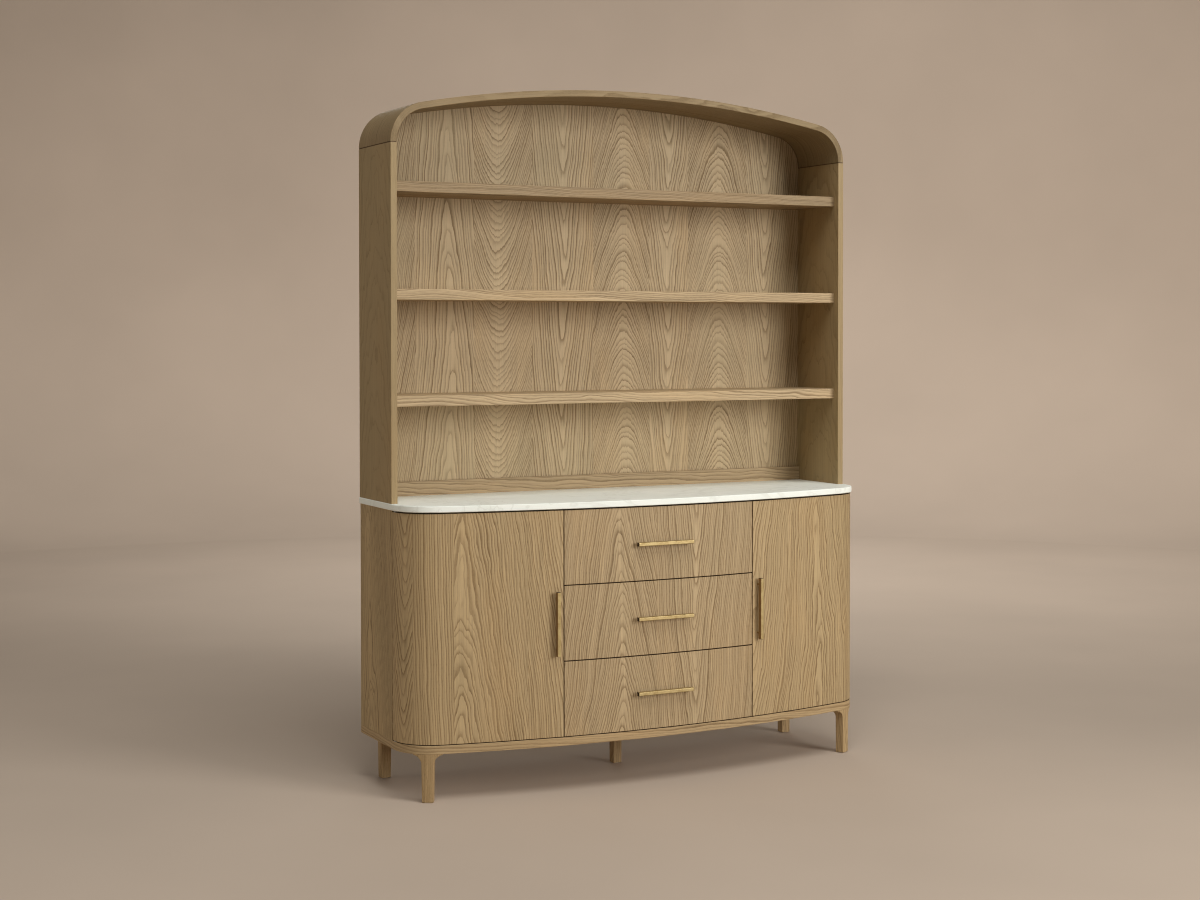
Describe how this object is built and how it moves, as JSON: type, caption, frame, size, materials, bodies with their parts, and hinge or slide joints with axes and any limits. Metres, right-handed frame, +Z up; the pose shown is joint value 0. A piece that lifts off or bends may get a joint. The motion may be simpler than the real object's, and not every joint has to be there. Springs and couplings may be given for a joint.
{
  "type": "dresser with hutch",
  "caption": "Free-standing dresser with a bowed base of drawers and wrap-round corner doors, a stone top and an open shelved hutch under an arched crown.",
  "frame": {"origin": "on the floor, under the centre of the object's box", "axes": "+Z up, front faces -Y, +X to the right of someone facing the front"},
  "size_m": [1.691, 0.5284, 2.2378],
  "materials": {
    "oak_veneer": "matt lacquered oak veneer with cathedral grain",
    "oak_front": "matt lacquered oak veneer, grain upright",
    "oak_solid": "matt lacquered solid oak",
    "drawer_wood": "clear lacquered light wood",
    "beech": "bare beech dowel",
    "white_stone": "honed white stone, eased edges",
    "brass": "brushed, satin lacquered",
    "steel": "zinc plated",
    "nylon": "natural nylon",
    "black_plastic": "moulded catch body"
  },
  "bodies": {
    "cabinet": {"bottom_board": "oak_veneer", "side_panel_left": "oak_veneer", "side_panel_right": "oak_veneer", "partition_left": "oak_veneer", "partition_right": "oak_veneer", "sub_top": "oak_veneer", "base_back_panel": "oak_veneer", "inner_shelf_left": "oak_veneer", "inner_shelf_right": "oak_veneer", "hutch_side_left": "oak_veneer", "hutch_side_right": "oak_veneer", "hutch_crown": "oak_veneer", "hutch_shelf_upper": "oak_veneer", "hutch_shelf_middle": "oak_veneer", "hutch_shelf_lower": "oak_veneer", "hutch_back_panel": "oak_veneer", "hutch_back_rail": "oak_veneer", "front_leg_left": "oak_solid", "front_leg_right": "oak_solid", "back_leg_left": "oak_solid", "back_leg_right": "oak_solid", "centre_leg": "oak_solid", "stone_top": "white_stone", "foot_glides": "nylon", "leg_bolts": "steel", "joining_plates": "steel", "wood_screws": "steel", "door_pivots": "steel", "slide_cabinet_members": "steel", "shelf_pins": "steel", "door_catches": "black_plastic", "case_dowels": "beech", "hutch_dowels": "beech"},
    "left_door": {"door_left": "oak_front", "door_pull_left": "brass", "door_bushes_left": "nylon", "catch_strike_left": "steel"},
    "right_door": {"door_right": "oak_front", "door_pull_right": "brass", "door_bushes_right": "nylon", "catch_strike_right": "steel"},
    "lower_drawer": {"drawer_lower_front": "oak_front", "drawer_lower_sides": "drawer_wood", "drawer_lower_ends": "drawer_wood", "drawer_lower_bottom": "drawer_wood", "drawer_lower_pull": "brass", "drawer_lower_runners": "steel"},
    "middle_drawer": {"drawer_middle_front": "oak_front", "drawer_middle_sides": "drawer_wood", "drawer_middle_ends": "drawer_wood", "drawer_middle_bottom": "drawer_wood", "drawer_middle_pull": "brass", "drawer_middle_runners": "steel"},
    "upper_drawer": {"drawer_upper_front": "oak_front", "drawer_upper_sides": "drawer_wood", "drawer_upper_ends": "drawer_wood", "drawer_upper_bottom": "drawer_wood", "drawer_upper_pull": "brass", "drawer_upper_runners": "steel"}
  },
  "joints": [
    {"name": "left_door_hinge", "type": "hinge", "parent": "cabinet", "child": "left_door", "pos_m": [-0.833, -0.02975, 0.534], "axis": [0, 0, -1], "range_deg": [0, 105]},
    {"name": "right_door_hinge", "type": "hinge", "parent": "cabinet", "child": "right_door", "pos_m": [0.833, -0.02975, 0.534], "axis": [0, 0, 1], "range_deg": [0, 105]},
    {"name": "lower_drawer_slide", "type": "slide", "parent": "cabinet", "child": "lower_drawer", "axis": [0, -1, 0], "range_m": [0, 0.3]},
    {"name": "middle_drawer_slide", "type": "slide", "parent": "cabinet", "child": "middle_drawer", "axis": [0, -1, 0], "range_m": [0, 0.3]},
    {"name": "upper_drawer_slide", "type": "slide", "parent": "cabinet", "child": "upper_drawer", "axis": [0, -1, 0], "range_m": [0, 0.3]}
  ]
}
